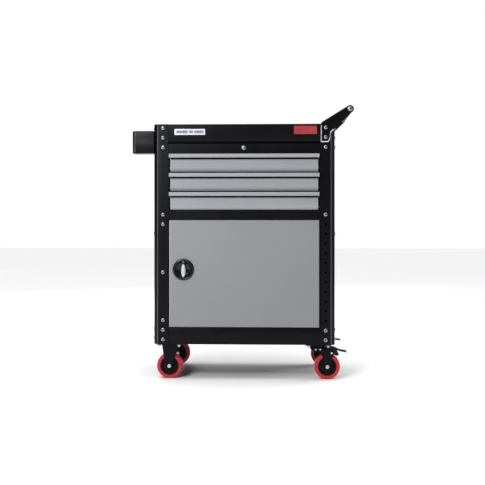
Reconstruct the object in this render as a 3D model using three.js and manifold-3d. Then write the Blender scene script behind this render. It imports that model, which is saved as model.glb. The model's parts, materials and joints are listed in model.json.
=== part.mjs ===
// Rolling tool chest: a bolted steel frame of four punched corner posts and two trays, holding a case of
// three drawers above a cabinet with one door, on two rigid and two braked swivel castors.
// Millimetres, +Z up, +X to the right of someone facing the drawers, +Y towards the back, floor at Z = 0.
import * as THREE from "three";
import { mergeVertices } from "three/addons/utils/BufferGeometryUtils.js";
import Module from "manifold-3d";

// ---------------------------------------------------------------- driving dimensions

const BODY_WIDTH = 706;
const BODY_DEPTH = 400;
const HOLE_PITCH = 37.5;
const HOLE_COUNT = 23;
const TOP_MARGIN = 15.5; // from the top of a post to its first hole
const BOTTOM_MARGIN = 19.5;
const BODY_HEIGHT = HOLE_PITCH * (HOLE_COUNT - 1) + TOP_MARGIN + BOTTOM_MARGIN;
const CASTOR_HEIGHT = 138.5;
const WHEEL_RADIUS = 50;
const GAP = 0.3; // left between pieces that touch
const DRAWER_COUNT = 3;

const HALF_X = BODY_WIDTH / 2;
const HALF_Y = BODY_DEPTH / 2;

// Corner posts: an angle with a bevelled corner and a row of holes down each flange.
const POST_SHEET = 2;
const POST_BEVEL = 15;
const POST_FLANGE = 56.5;
const POST_HOLE_INSET = 36; // from the outer face to the row of holes
const POST_HOLE_RADIUS = 4.5;
const POST_HOLE_SIDES = 6;

// Trays: one tray is the top, the other is the floor of the cabinet.
const TOP_TRAY_HEIGHT = 68.5;
const BOTTOM_TRAY_HEIGHT = 66;
const TRAY_SHEET = 1.5;
const TRAY_RIM = 12;
const INSIDE_POSTS = POST_SHEET + GAP; // what stands against a post's inner face
const TRAY_HALF_X = HALF_X - INSIDE_POSTS;
const TRAY_HALF_Y = HALF_Y - INSIDE_POSTS;
const TOP_TRAY_Z = BODY_HEIGHT - TOP_TRAY_HEIGHT;

// Panels that close the sides and the back between the trays.
const PANEL_SHEET = 1;
const PANEL_GAP = 0.5;
const SIDE_PANEL_HALF = 183;

// Drawer case: a box open to the front behind a face frame that bolts to the front posts.
const CASE_SHEET = 1.2;
const CASE_BOTTOM = 487.5;
const CASE_TOP = 790;
const CASE_INNER_HALF = 296.5;
const CASE_BACK = 180;
const FACE_FRONT = -TRAY_HALF_Y;
const FACE_HALF = 333;
const FACE_SHEET = 1.5;
const FACE_TOP = 784; // leaves a shadow gap under the top tray
const OPENING_BOTTOM = 524.8;
const OPENING_TOP = 744.6;
const OPENING_HALF = 293;

// Drawers: a folded tray, two slides, and a front whose top steps back and hooks over as a full-width pull.
const DRAWER_PITCH = 74.4;
const LOWEST_FRONT_Z = 525.5;
const FRONT_HEIGHT = 69.2;
const FRONT_SHEET = 1.5;
const FRONT_STEP_DROP = 21; // from the top of the front to the step behind the pull
const FRONT_STEP_BACK = 7;
const FACE_WIDTH = 576;
const PULL_WIDTH = 584;
const PULL_HEIGHT = 15;
const PULL_REACH = 16.5;
const PULL_LIP = 4;
const BOX_SHEET = 1;
const BOX_HALF = 283.5;
const BOX_FRONT = -HALF_Y + FRONT_STEP_BACK + FRONT_SHEET + GAP;
const BOX_BACK = 160;
const BOX_RISE = 10.5; // of the box above the lower edge of its front
const BOX_HEIGHT = 52;
const SLIDE_SHEET = 1.2;
const SLIDE_FRONT = -190;
const SLIDE_RISE = 33.5; // of a slide's centreline above the lower edge of the front
const SLIDE_OUTER_HALF = 22.5;
const SLIDE_OUTER_MOUTH = 288; // X of the outer channel's open side
const SLIDE_OUTER_LIP = 3;
const SLIDE_INNER_HALF = 17;
const SLIDE_INNER_EDGE = 292;

// Central lock: a plug in the upper rail turns a rod, whose crank lifts a bar behind the drawers.
const LOCK_Z = 767.2;
const LOCK_PLUG_RADIUS = 5;
const LOCK_BARREL_RADIUS = 7;
const LOCK_FLANGE_RADIUS = 8.9;
const LOCK_CRANK = 4.95; // offset of the crank pin along X and Z at rest
const LOCK_PIN_RADIUS = 2;
const LOCK_BAR_FRONT = 172.3;
const LOCK_BAR_SHEET = 2;
const LOCK_BAR_LEFT = -12;
const LOCK_BAR_RIGHT = 8;
const LOCK_BAR_BOTTOM = 545;
const LOCK_BAR_TOP = LOCK_Z + 10;
const LOCK_TAB_REACH = 10.5; // of a drawer's catch behind its back wall
const LOCK_TAB_LIP = 9.5;
const LOCK_TAB_SHEET = 1.5;
const LOCK_FINGER_RISE = 40.9; // of a finger's shelf above the lower edge of a front
const LOCK_FINGER_FRONT = 163;

// Door: a folded pan that turns on two pins near its right edge.
const DOOR_HALF = 292.7;
const DOOR_BOTTOM = 67.8;
const DOOR_TOP = 485.6;
const DOOR_DEPTH = 18;
const DOOR_SHEET = 1.2;
const DOOR_RETURN = 12;
const PIVOT_INSET = 8; // of the pins from the door's right edge and from its face
const PIVOT_X = DOOR_HALF - PIVOT_INSET;
const PIVOT_Y = -HALF_Y + PIVOT_INSET;
const PIVOT_LENGTH = 10;
const PIVOT_RADIUS = 3;
const PIVOT_HOLE_RADIUS = 3.4;
const STOP_FRONT = -181; // the strip that the latch tongue turns behind
const STOP_BACK = -179.8;
const STOP_EDGE = -283;
const LATCH_X = -236.6;
const LATCH_Z = 292.4;
const DISH_RADIUS = 42;
const KEY_RISE = 29; // of the key plug above the latch's centre
const GRIP_ABOVE = 20.5; // from the latch's centre to each end of the grip
const GRIP_BELOW = 29.5;
const GRIP_HALF_WIDTH = 9.3;

// Handle: two cranked plates on the right-hand posts and a tube between them.
const HANDLE_PLATE = 4;
const HANDLE_X = 411.7;
const HANDLE_Z = 917.1;
const HANDLE_END_RADIUS = 14.4;
const HANDLE_CORNER_RADIUS = 18;
const HANDLE_TUBE_RADIUS = 12.5;
const HANDLE_BORE_RADIUS = 10.5;

// Bin on the side flange of the front left post.
const BIN_REACH = 85;
const BIN_HEIGHT = 88;
const BIN_DROP = 25.5; // of its rim below the top of the posts
const BIN_HALF_Y = 30;
const BIN_Y = -HALF_Y + POST_HOLE_INSET; // its middle, in line with the post's side holes
const BIN_SHEET = 1.2;
const BIN_BEVEL = 10;
const BIN_RIM = 5;

// Castors.
const AXLE_DROP = CASTOR_HEIGHT - WHEEL_RADIUS; // below the underside of the body
const CASTOR_Y = 152;
const RIGID_X = -295;
const SWIVEL_X = 289;
const TRAIL = 36;
const PLATE_HALF_X = 49;
const PLATE_HALF_Y = 38;
const PLATE_SHEET = 3.7;
const PLATE_BOLT_X = 38.5;
const PLATE_BOLT_Y = 28;
const LEG_INNER = 19; // from the wheel's middle plane to the inside of a fork leg
const LEG_OUTER = 22;
const LEG_END_RADIUS = 15;
const AXLE_RADIUS = 4.8;
const AXLE_HOLE_RADIUS = 5.3;
const RACE_BOTTOM = -10;
const CROWN_TOP = -17;
const CROWN_BOTTOM = -20;
const KINGPIN_HOLE_RADIUS = 6.8;
const BRAKE_PIVOT_X = 53;
const BRAKE_PIVOT_Z = -34;

// ---------------------------------------------------------------- materials

const finish = (color, roughness, metalness) =>
  new THREE.MeshStandardMaterial({ color, roughness, metalness });
const blackPaint = finish(0x1b1b20, 0.45, 0.1);
const greyPaint = finish(0x9a9ca2, 0.5, 0.2);
const zinc = finish(0xb9bcc0, 0.35, 0.9);
const blackGloss = finish(0x0b0b0c, 0.12, 0.0);
const chrome = finish(0xd8d8da, 0.12, 1.0);
const redPolyurethane = finish(0xc8202a, 0.4, 0.0);
const blackNylon = finish(0x141416, 0.5, 0.0);

// ---------------------------------------------------------------- shapes

const wasm = await Module();
wasm.setup();

// A closed geometry as a solid that can be joined and cut.
function solidOf(geometry) {
  const bare = geometry.clone();
  bare.deleteAttribute("normal");
  bare.deleteAttribute("uv");
  const merged = mergeVertices(bare, 1e-3);
  const vertProperties = merged.attributes.position.array;
  const triVerts = new Uint32Array(merged.index.array);
  return new wasm.Manifold(new wasm.Mesh({ numProp: 3, vertProperties, triVerts }));
}

function geometryOf(solid) {
  const mesh = solid.getMesh();
  return new THREE.BufferGeometry()
    .setAttribute("position", new THREE.BufferAttribute(mesh.vertProperties, 3))
    .setIndex(new THREE.BufferAttribute(mesh.triVerts, 1));
}

function join(...geometries) {
  return geometryOf(geometries.map(solidOf).reduce((a, b) => a.add(b)));
}

function cut(geometry, ...tools) {
  return geometryOf(tools.map(solidOf).reduce((a, b) => a.subtract(b), solidOf(geometry)));
}

function extruded(points, depth) {
  const shape = new THREE.Shape(points.map(([u, v]) => new THREE.Vector2(u, v)));
  return new THREE.ExtrudeGeometry(shape, { depth, bevelEnabled: false, curveSegments: 1 });
}

// Prisms: an outline in the two other axes, swept along the named one.
function prismX(outlineYZ, x0, x1) {
  const turn = new THREE.Matrix4().set(0, 0, 1, x0, 1, 0, 0, 0, 0, 1, 0, 0, 0, 0, 0, 1);
  return extruded(outlineYZ, x1 - x0).applyMatrix4(turn);
}

function prismY(outlineXZ, y0, y1) {
  return extruded(outlineXZ, y1 - y0)
    .rotateX(Math.PI / 2)
    .translate(0, y1, 0);
}

function prismZ(outlineXY, z0, z1) {
  return extruded(outlineXY, z1 - z0).translate(0, 0, z0);
}

function box(x0, x1, y0, y1, z0, z1) {
  return new THREE.BoxGeometry(x1 - x0, y1 - y0, z1 - z0)
    .translate((x0 + x1) / 2, (y0 + y1) / 2, (z0 + z1) / 2);
}

// Points on an arc from one angle to another, in degrees.
function arc(u, v, radius, from, to, steps) {
  return Array.from({ length: steps + 1 }, (_, i) => {
    const angle = THREE.MathUtils.degToRad(from + ((to - from) * i) / steps);
    return [u + radius * Math.cos(angle), v + radius * Math.sin(angle)];
  });
}

function circle(u, v, radius, sides) {
  return arc(u, v, radius, 0, 360, sides).slice(0, sides);
}

// A rectangle with its four corners cut off.
function cornerCut(halfU, halfV, c) {
  return [
    [-halfU + c, -halfV], [halfU - c, -halfV], [halfU, -halfV + c], [halfU, halfV - c],
    [halfU - c, halfV], [-halfU + c, halfV], [-halfU, halfV - c], [-halfU, -halfV + c],
  ];
}

// A profile of [radius, height] points turned about the Y axis, or about the Z axis.
function turnedY(profile, sides) {
  const points = profile.map(([r, h]) => new THREE.Vector2(r, h));
  const ordered = THREE.ShapeUtils.area(points) < 0 ? points.reverse() : points;
  if (profile.every(([r]) => r > 0)) ordered.push(ordered[0].clone());
  return new THREE.LatheGeometry(ordered, sides);
}

function turnedZ(profile, sides) {
  return turnedY(profile, sides).rotateX(Math.PI / 2);
}

// A round bar between two heights.
const barY = (x, z, radius, y0, y1, sides = 12) => prismY(circle(x, z, radius, sides), y0, y1);
const barZ = (x, y, radius, z0, z1, sides = 12) => prismZ(circle(x, y, radius, sides), z0, z1);

function addPart(parent, name, geometry, material, x = 0, y = 0, z = 0) {
  const mesh = new THREE.Mesh(geometry, material);
  mesh.name = name;
  mesh.position.set(x, y, z);
  parent.add(mesh);
}

// ---------------------------------------------------------------- frame

// The post at the corner with the given signs of X and Y.
function postGeometry(sx, sy) {
  const [x, y, t, b, f] = [HALF_X, HALF_Y, POST_SHEET, POST_BEVEL, POST_FLANGE];
  const inner = b - t * (2 - Math.SQRT2); // the bevel, measured on the inner faces
  const outline = [
    [x - f, y], [x - b, y], [x, y - b], [x, y - f],
    [x - t, y - f], [x - t, y - t - inner], [x - t - inner, y - t], [x - f, y - t],
  ];
  const mirrored = outline.map(([u, v]) => [sx * u, sy * v]);
  const ofFront = sx * (x - POST_HOLE_INSET);
  const ofSide = sy * (y - POST_HOLE_INSET);
  const through = (v, outer) => [v * (outer - 2 * t), v * (outer + t)].sort((a, c) => a - c);
  const holes = [];
  for (let i = 0; i < HOLE_COUNT; i++) {
    const z = BOTTOM_MARGIN + i * HOLE_PITCH;
    holes.push(prismY(circle(ofFront, z, POST_HOLE_RADIUS, POST_HOLE_SIDES), ...through(sy, y)));
    holes.push(prismX(circle(ofSide, z, POST_HOLE_RADIUS, POST_HOLE_SIDES), ...through(sx, x)));
  }
  return cut(prismZ(mirrored, 0, BODY_HEIGHT), ...holes);
}

// A tray with its underside at Z = 0, walls all round and a rim folded inwards.
function trayGeometry(height) {
  const level = (inset, z0, z1) =>
    prismZ(cornerCut(TRAY_HALF_X - inset, TRAY_HALF_Y - inset, POST_BEVEL), z0, z1);
  return cut(
    level(0, 0, height),
    level(TRAY_SHEET, TRAY_SHEET, height - TRAY_SHEET),
    level(TRAY_RIM, height - 2 * TRAY_SHEET, height + 1),
  );
}

// One sheet folded round the two sides and the back, between the trays.
function wrapPanelGeometry() {
  const bend = POST_BEVEL - PANEL_SHEET * (2 - Math.SQRT2);
  const half = (x, y, b) => [[x, -SIDE_PANEL_HALF], [x, y - b], [x - b, y]];
  const outer = half(TRAY_HALF_X, TRAY_HALF_Y, POST_BEVEL);
  const inner = half(TRAY_HALF_X - PANEL_SHEET, TRAY_HALF_Y - PANEL_SHEET, bend);
  const mirrored = (points) => points.map(([x, y]) => [-x, y]);
  const outline = [...outer, ...mirrored(outer).reverse(), ...mirrored(inner), ...inner.reverse()];
  return prismZ(outline, BOTTOM_TRAY_HEIGHT + PANEL_GAP, TOP_TRAY_Z - PANEL_GAP);
}

function addFrame(body) {
  for (const [sx, side] of [[-1, "left"], [1, "right"]])
    for (const [sy, end] of [[-1, "front"], [1, "rear"]])
      addPart(body, `post_${end}_${side}`, postGeometry(sx, sy), blackPaint);
  addPart(body, "top_tray", trayGeometry(TOP_TRAY_HEIGHT), blackPaint, 0, 0, TOP_TRAY_Z);
  const rim = BOTTOM_TRAY_HEIGHT;
  const pin = barZ(PIVOT_X, PIVOT_Y, PIVOT_RADIUS, rim - TRAY_SHEET / 2, rim + PIVOT_LENGTH);
  addPart(body, "bottom_tray", join(trayGeometry(BOTTOM_TRAY_HEIGHT), pin), blackPaint);
  addPart(body, "wrap_panel", wrapPanelGeometry(), blackPaint);
}

// ---------------------------------------------------------------- drawer case, slides and drawers

// A U-shaped bracket on the case's back wall that the lock bar slides in.
function barGuideGeometry(z) {
  const [play, wall, height] = [0.4, 1.6, 10];
  const front = LOCK_BAR_FRONT - GAP;
  const back = LOCK_BAR_FRONT + LOCK_BAR_SHEET + GAP;
  const [left, right] = [LOCK_BAR_LEFT - play, LOCK_BAR_RIGHT + play];
  return cut(
    box(left - wall, right + wall, front - 1, CASE_BACK - CASE_SHEET / 2, z, z + height),
    box(left, right, front, back, z - 1, z + height + 1),
  );
}

function addDrawerCase(body) {
  const inner = CASE_INNER_HALF;
  const outer = inner + CASE_SHEET;
  const front = FACE_FRONT + FACE_SHEET + GAP;
  const [back, floor, ceiling] = [CASE_BACK - CASE_SHEET, CASE_BOTTOM + CASE_SHEET, CASE_TOP - CASE_SHEET];
  const shell = cut(
    box(-outer, outer, front, CASE_BACK, CASE_BOTTOM, CASE_TOP),
    box(-inner, inner, front - 1, back, floor, ceiling),
  );
  const pinTop = CASE_BOTTOM + CASE_SHEET / 2;
  const pin = barZ(PIVOT_X, PIVOT_Y, PIVOT_RADIUS, CASE_BOTTOM - PIVOT_LENGTH, pinTop);
  const guides = [600, 675].map(barGuideGeometry);
  addPart(body, "drawer_case", join(shell, pin, ...guides), blackPaint);

  const face = cut(
    box(-FACE_HALF, FACE_HALF, FACE_FRONT, FACE_FRONT + FACE_SHEET, CASE_BOTTOM, FACE_TOP),
    box(-OPENING_HALF, OPENING_HALF, FACE_FRONT - 1, front + 1, OPENING_BOTTOM, OPENING_TOP),
    barY(0, LOCK_Z, LOCK_BARREL_RADIUS + GAP, FACE_FRONT - 1, front + 1, 16),
  );
  addPart(body, "case_face", face, blackPaint);
  addPart(body, "door_stop", doorStopGeometry(), blackPaint);
}

// A Z-section down behind the front left post: the door's stop, which the latch tongue turns behind.
function doorStopGeometry() {
  const web = -CASE_INNER_HALF - 0.6;
  const outline = [
    [-FACE_HALF, FACE_FRONT], [web, FACE_FRONT], [web, STOP_FRONT], [STOP_EDGE, STOP_FRONT],
    [STOP_EDGE, STOP_BACK], [web - FACE_SHEET, STOP_BACK],
    [web - FACE_SHEET, FACE_FRONT + FACE_SHEET], [-FACE_HALF, FACE_FRONT + FACE_SHEET],
  ];
  return prismZ(outline, BOTTOM_TRAY_HEIGHT + GAP, CASE_BOTTOM - GAP);
}

// The outline of a drawer front in Y and Z: bevelled foot, flat face, and a step back below the pull.
function frontFaceOutline() {
  const [y, t, h] = [-HALF_Y, FRONT_SHEET, FRONT_HEIGHT];
  const [footBack, footHeight] = [7, 9.5];
  const step = h - FRONT_STEP_DROP;
  const stepBack = y + FRONT_STEP_BACK;
  return [
    [y + footBack, 0], [y + footBack + t, 0.6], [y + t, footHeight + 0.6], [y + t, step - t],
    [stepBack + t, step - t], [stepBack + t, h], [stepBack, h], [stepBack, step], [y, step],
    [y, footHeight],
  ];
}

// The hook over the top of a drawer front, in Y and Z.
function frontPullOutline() {
  const [t, h, lip] = [FRONT_SHEET, FRONT_HEIGHT, -HALF_Y - PULL_REACH];
  const back = -HALF_Y + FRONT_STEP_BACK + t;
  const lipBack = lip + PULL_LIP;
  const foot = h - PULL_HEIGHT;
  return [
    [back, h - 2 * t], [back, h], [lip + 3, h], [lip + 1, h - 2], [lip, foot + 1], [lip + 1.2, foot],
    [lipBack - 0.6, foot], [lipBack, foot + 1], [lipBack + 1, h - 2 * t],
  ];
}

function frontGeometry() {
  return join(
    prismX(frontFaceOutline(), -FACE_WIDTH / 2, FACE_WIDTH / 2),
    prismX(frontPullOutline(), -PULL_WIDTH / 2, PULL_WIDTH / 2),
  );
}

// An open box with a catch for the lock bar on its back wall. Z = 0 is the lower edge of its front.
function drawerBoxGeometry() {
  const [y0, y1] = [BOX_FRONT, BOX_BACK];
  const [z0, z1] = [BOX_RISE, BOX_RISE + BOX_HEIGHT];
  const [s, tab] = [BOX_SHEET, LOCK_TAB_SHEET];
  const tray = cut(
    box(-BOX_HALF, BOX_HALF, y0, y1, z0, z1),
    box(-BOX_HALF + s, BOX_HALF - s, y0 + s, y1 - s, z0 + s, z1 + 1),
  );
  const tabBack = y1 + LOCK_TAB_REACH;
  const tabFoot = z1 - tab - LOCK_TAB_LIP;
  const catchOutline = [
    [y1 - s / 2, z1 - tab], [tabBack - tab, z1 - tab], [tabBack - tab, tabFoot],
    [tabBack, tabFoot], [tabBack, z1], [y1 - s / 2, z1],
  ];
  return join(tray, prismX(catchOutline, -6, 6));
}

// Slides, for the side with the given sign of X: the outer channel is on the case, the inner on the box.
function slideOuterGeometry(sx) {
  const [wall, mouth] = [CASE_INNER_HALF - GAP, SLIDE_OUTER_MOUTH];
  const [h, t, lip] = [SLIDE_OUTER_HALF, SLIDE_SHEET, SLIDE_OUTER_LIP];
  const outline = [
    [wall, -h], [wall, h], [mouth, h], [mouth, h - t - lip], [mouth + t, h - t - lip], [mouth + t, h - t],
    [wall - t, h - t], [wall - t, -h + t], [mouth + t, -h + t], [mouth + t, -h + t + lip],
    [mouth, -h + t + lip], [mouth, -h],
  ];
  return prismY(outline.map(([u, v]) => [sx * u, v]), SLIDE_FRONT, BOX_BACK);
}

function slideInnerGeometry(sx) {
  const [web, edge, h, t] = [BOX_HALF + GAP, SLIDE_INNER_EDGE, SLIDE_INNER_HALF, SLIDE_SHEET];
  const outline = [
    [web, -h], [edge, -h], [edge, -h + t], [web + t, -h + t],
    [web + t, h - t], [edge, h - t], [edge, h], [web, h],
  ];
  return prismY(outline.map(([u, v]) => [sx * u, v]), SLIDE_FRONT, BOX_BACK);
}

function addDrawers(body) {
  for (let i = 0; i < DRAWER_COUNT; i++) {
    const number = i + 1; // drawer 1 is the top one
    const z = LOWEST_FRONT_Z + (DRAWER_COUNT - number) * DRAWER_PITCH;
    addPart(body, `drawer_${number}_front`, frontGeometry(), greyPaint, 0, 0, z);
    addPart(body, `drawer_${number}_box`, drawerBoxGeometry(), greyPaint, 0, 0, z);
    for (const [sx, side] of [[-1, "left"], [1, "right"]]) {
      addPart(body, `slide_${number}_${side}_outer`, slideOuterGeometry(sx), zinc, 0, 0, z + SLIDE_RISE);
      addPart(body, `slide_${number}_${side}_inner`, slideInnerGeometry(sx), zinc, 0, 0, z + SLIDE_RISE);
    }
  }
}

// ---------------------------------------------------------------- central lock

function addCentralLock(body) {
  const flangeBack = FACE_FRONT - GAP;
  const flangeFront = flangeBack - 2.2;
  const barrelBack = -176;
  const bore = LOCK_PLUG_RADIUS + GAP;
  const housing = [
    [bore, flangeFront], [LOCK_FLANGE_RADIUS, flangeFront], [LOCK_FLANGE_RADIUS, flangeBack],
    [LOCK_BARREL_RADIUS, flangeBack], [LOCK_BARREL_RADIUS, barrelBack], [bore, barrelBack],
  ];
  addPart(body, "lock_housing", turnedY(housing, 24), chrome, 0, 0, LOCK_Z);

  const pin = -LOCK_CRANK;
  const [armFront, armBack, shaft] = [168, 171, 3.5];
  const arm = [[shaft, shaft - 1], [1 - shaft, shaft], [pin - 2.5, pin + 1], [pin + 1, pin - 2.5]];
  const rod = join(
    barY(0, 0, LOCK_PLUG_RADIUS, flangeFront - 0.5, barrelBack + 2, 16),
    barY(0, 0, shaft, barrelBack + 1, armBack - 1, 8),
    prismY(arm, armFront, armBack),
    barY(pin, pin, LOCK_PIN_RADIUS, armBack - 1, LOCK_BAR_FRONT + LOCK_BAR_SHEET + 2.7, 8),
  );
  const keySlot = box(-0.8, 0.8, flangeFront - 1, flangeFront + 6, -3.5, 3.5);
  addPart(body, "lock_rod", cut(rod, keySlot), chrome, 0, 0, LOCK_Z);
  addPart(body, "lock_bar", lockBarGeometry(), zinc);
}

// A flat bar behind the drawers, with a slot for the crank pin and one upturned finger for each drawer.
function lockBarGeometry() {
  const [y0, y1] = [LOCK_BAR_FRONT, LOCK_BAR_FRONT + LOCK_BAR_SHEET];
  const pinZ = LOCK_Z - LOCK_CRANK;
  const slotHalf = LOCK_PIN_RADIUS + 0.7;
  const slot = box(-9.8, -2.2, y0 - 1, y1 + 1, pinZ - slotHalf, pinZ + slotHalf);
  const [front, sheet, upstand] = [LOCK_FINGER_FRONT, 1.6, 9.5];
  const fingers = [];
  for (let i = 0; i < DRAWER_COUNT; i++) {
    const shelf = LOWEST_FRONT_Z + i * DRAWER_PITCH + LOCK_FINGER_RISE;
    const outline = [
      [y0 + 1, shelf], [front + sheet, shelf], [front + sheet, shelf + upstand],
      [front, shelf + upstand], [front, shelf - 2], [y0 + 1, shelf - 2],
    ];
    fingers.push(prismX(outline, -5, 5));
  }
  const bar = box(LOCK_BAR_LEFT, LOCK_BAR_RIGHT, y0, y1, LOCK_BAR_BOTTOM, LOCK_BAR_TOP);
  return cut(join(bar, ...fingers), slot);
}

// ---------------------------------------------------------------- door and latch

function doorGeometry() {
  const [y0, y1] = [-HALF_Y, -HALF_Y + DOOR_DEPTH];
  const [s, r] = [DOOR_SHEET, DOOR_RETURN];
  return cut(
    box(-DOOR_HALF, DOOR_HALF, y0, y1, DOOR_BOTTOM, DOOR_TOP),
    box(-DOOR_HALF + s, DOOR_HALF - s, y0 + s, y1 - s, DOOR_BOTTOM + s, DOOR_TOP - s),
    box(-DOOR_HALF + r, DOOR_HALF - r, y1 - 2 * s, y1 + 1, DOOR_BOTTOM + r, DOOR_TOP - r),
    barZ(PIVOT_X, PIVOT_Y, PIVOT_HOLE_RADIUS, DOOR_BOTTOM - 1, DOOR_TOP + 1),
    barY(LATCH_X, LATCH_Z, DISH_RADIUS - 3.5, y0 - 1, y0 + s + 1, 32),
  );
}

function addDoor(body) {
  addPart(body, "door_panel", doorGeometry(), greyPaint);
  const latch = new THREE.Group(); // its origin is the latch's centre in the plane of the door's face
  latch.position.set(LATCH_X, -HALF_Y, LATCH_Z);
  body.add(latch);
  addPart(latch, "latch_dish", latchDishGeometry(), blackGloss);
  addPart(latch, "latch_grip", latchGripGeometry(), chrome);
  const tongue = prismY([[-11, 12], [-11, -58], [11, -58], [11, 12]], 21.5, 24);
  addPart(latch, "latch_tongue", cut(tongue, barY(0, 0, 6.3, 20, 26)), zinc);
  const keySlot = box(-0.7, 0.7, -5, 0, -3, 3);
  addPart(latch, "latch_key_plug", cut(barY(0, 0, 4.7, -4, 17), keySlot), chrome, 0, 0, KEY_RISE);
}

// A round dish with a raised rim, a bearing for the grip's shaft and a boss for the key plug.
function latchDishGeometry() {
  const r = DISH_RADIUS;
  const profile = [
    [r, -GAP], [r, -3.2], [r - 1.8, -6], [r - 4, -6], [r - 9, 3], [22, 6.6], [6.4, 8], [6.4, 18.5],
    [10, 18.5], [10, 10.4], [23, 9], [r - 7, 5], [r - 4.3, -GAP],
  ];
  const boss = barY(0, KEY_RISE, 6.8, -3, 15);
  const keyBore = barY(0, KEY_RISE, 5.1, -4, 16);
  return cut(join(turnedY(profile, 28), boss), keyBore);
}

function latchGripGeometry() {
  const middle = (GRIP_ABOVE - GRIP_BELOW) / 2;
  const halfLength = (GRIP_ABOVE + GRIP_BELOW) / 2;
  const lens = circle(0, 0, 1, 20).map(([u, v]) => [u * GRIP_HALF_WIDTH, middle + v * halfLength]);
  const crest = lens.map(([u, v]) => [u * 0.6, middle + (v - middle) * 0.9]);
  return join(
    prismY(lens, -3, 2.4),
    prismY(crest, -8, -2),
    barY(0, 0, 11, 1, 6.2, 16),
    barY(0, 0, 6, 2, 25),
  );
}

// ---------------------------------------------------------------- handle and bin

// The cranked outline in X and Z, with its upper edge 32 degrees above level and its lower edge 45.
function handleOutline() {
  return [
    [297.9, 788], [328.4, 788], [334, 800.5], [336.2, 811], [336.6, 822], [340.5, 830], [348.6, 835.6],
    ...arc(HANDLE_X, HANDLE_Z, HANDLE_END_RADIUS, -45, 122, 8),
    ...arc(297.9 + HANDLE_CORNER_RADIUS, 853.7, HANDLE_CORNER_RADIUS, 122, 180, 3),
  ];
}

function addHandle(body) {
  const plate = (y0, y1) => {
    const bore = (x, z) => barY(x, z, POST_HOLE_RADIUS, y0 - 1, y1 + 1);
    const postHoles = [0, 1].map((i) =>
      bore(HALF_X - POST_HOLE_INSET, BODY_HEIGHT - TOP_MARGIN - i * HOLE_PITCH),
    );
    return cut(prismY(handleOutline(), y0, y1), bore(HANDLE_X, HANDLE_Z), ...postHoles);
  };
  const face = HALF_Y + GAP;
  addPart(body, "handle_plate_front", plate(-face - HANDLE_PLATE, -face), blackPaint);
  addPart(body, "handle_plate_rear", plate(face, face + HANDLE_PLATE), blackPaint);
  const tube = [
    [HANDLE_BORE_RADIUS, -HALF_Y], [HANDLE_TUBE_RADIUS, -HALF_Y],
    [HANDLE_TUBE_RADIUS, HALF_Y], [HANDLE_BORE_RADIUS, HALF_Y],
  ];
  addPart(body, "handle_tube", turnedY(tube, 24), blackPaint, HANDLE_X, 0, HANDLE_Z);
}

function addBin(body) {
  const back = -HALF_X - GAP;
  const outline = (inset) => {
    const [x0, x1, y] = [back - BIN_REACH + inset, back - inset, BIN_HALF_Y - inset];
    return [
      [x1, -y], [x1, y], [x0 + BIN_BEVEL, y], [x0, y - BIN_BEVEL],
      [x0, -y + BIN_BEVEL], [x0 + BIN_BEVEL, -y],
    ];
  };
  const bin = cut(
    prismZ(outline(0), 0, BIN_HEIGHT),
    prismZ(outline(BIN_SHEET), BIN_SHEET, BIN_HEIGHT - BIN_SHEET),
    prismZ(outline(BIN_RIM), BIN_HEIGHT - 2 * BIN_SHEET, BIN_HEIGHT + 1),
  );
  addPart(body, "side_bin", bin, blackPaint, 0, BIN_Y, BODY_HEIGHT - BIN_DROP - BIN_HEIGHT);
}

// ---------------------------------------------------------------- castors

// Each castor's frame has its origin on the underside of the body, at the middle of the castor's plate.
function castorPlateGeometry() {
  const plate = prismZ(cornerCut(PLATE_HALF_X, PLATE_HALF_Y, 6), -GAP - PLATE_SHEET, -GAP);
  const holes = [-1, 1].flatMap((sx) =>
    [-1, 1].map((sy) => barZ(sx * PLATE_BOLT_X, sy * PLATE_BOLT_Y, 4.5, -PLATE_SHEET - 2, 1, 8)),
  );
  return cut(plate, ...holes);
}

// Both legs of a fork, from one outline in X and Z.
function forkLegs(outline) {
  return [prismY(outline, LEG_INNER, LEG_OUTER), prismY(outline, -LEG_OUTER, -LEG_INNER)];
}

function axleGeometry(x) {
  const head = circle(x, -AXLE_DROP, 8, 6);
  const [legFace, tip] = [LEG_OUTER + GAP, LEG_OUTER + 6];
  return join(
    barY(x, -AXLE_DROP, AXLE_RADIUS, -legFace - 1, legFace + 1),
    prismY(head, -tip, -legFace),
    prismY(head, legFace, tip),
  );
}

function addWheel(castor, name, x) {
  const core = [
    [AXLE_HOLE_RADIUS, -18], [14, -18], [15, -6], [30, -6], [31, -14.5], [36.7, -14.5],
    [36.7, 14.5], [31, 14.5], [30, 6], [15, 6], [14, 18], [AXLE_HOLE_RADIUS, 18],
  ];
  const [r, shoulder] = [WHEEL_RADIUS, WHEEL_RADIUS - 3];
  const tread = [[37, -16], [shoulder, -16], [r, -12], [r, 12], [shoulder, 16], [37, 16]];
  addPart(castor, `${name}_wheel_core`, turnedY(core, 20), blackNylon, x, 0, -AXLE_DROP);
  addPart(castor, `${name}_wheel_tread`, turnedY(tread, 30), redPolyurethane, x, 0, -AXLE_DROP);
}

function addRigidCastor(body, name, y) {
  const castor = new THREE.Group();
  castor.position.set(RIGID_X, y, 0);
  body.add(castor);
  const side = [[15, -81], [23.5, -44], [29.5, -PLATE_SHEET]];
  const leg = [
    ...arc(0, -AXLE_DROP, LEG_END_RADIUS, -170, -10, 6), ...side,
    ...side.map(([u, v]) => [-u, v]).reverse(),
  ];
  const hole = barY(0, -AXLE_DROP, AXLE_HOLE_RADIUS, -LEG_OUTER - 1, LEG_OUTER + 1);
  const bracket = cut(join(castorPlateGeometry(), ...forkLegs(leg)), hole);
  addPart(castor, `${name}_bracket`, bracket, blackPaint);
  addPart(castor, `${name}_axle`, axleGeometry(0), zinc);
  addWheel(castor, name, 0);
}

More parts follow.
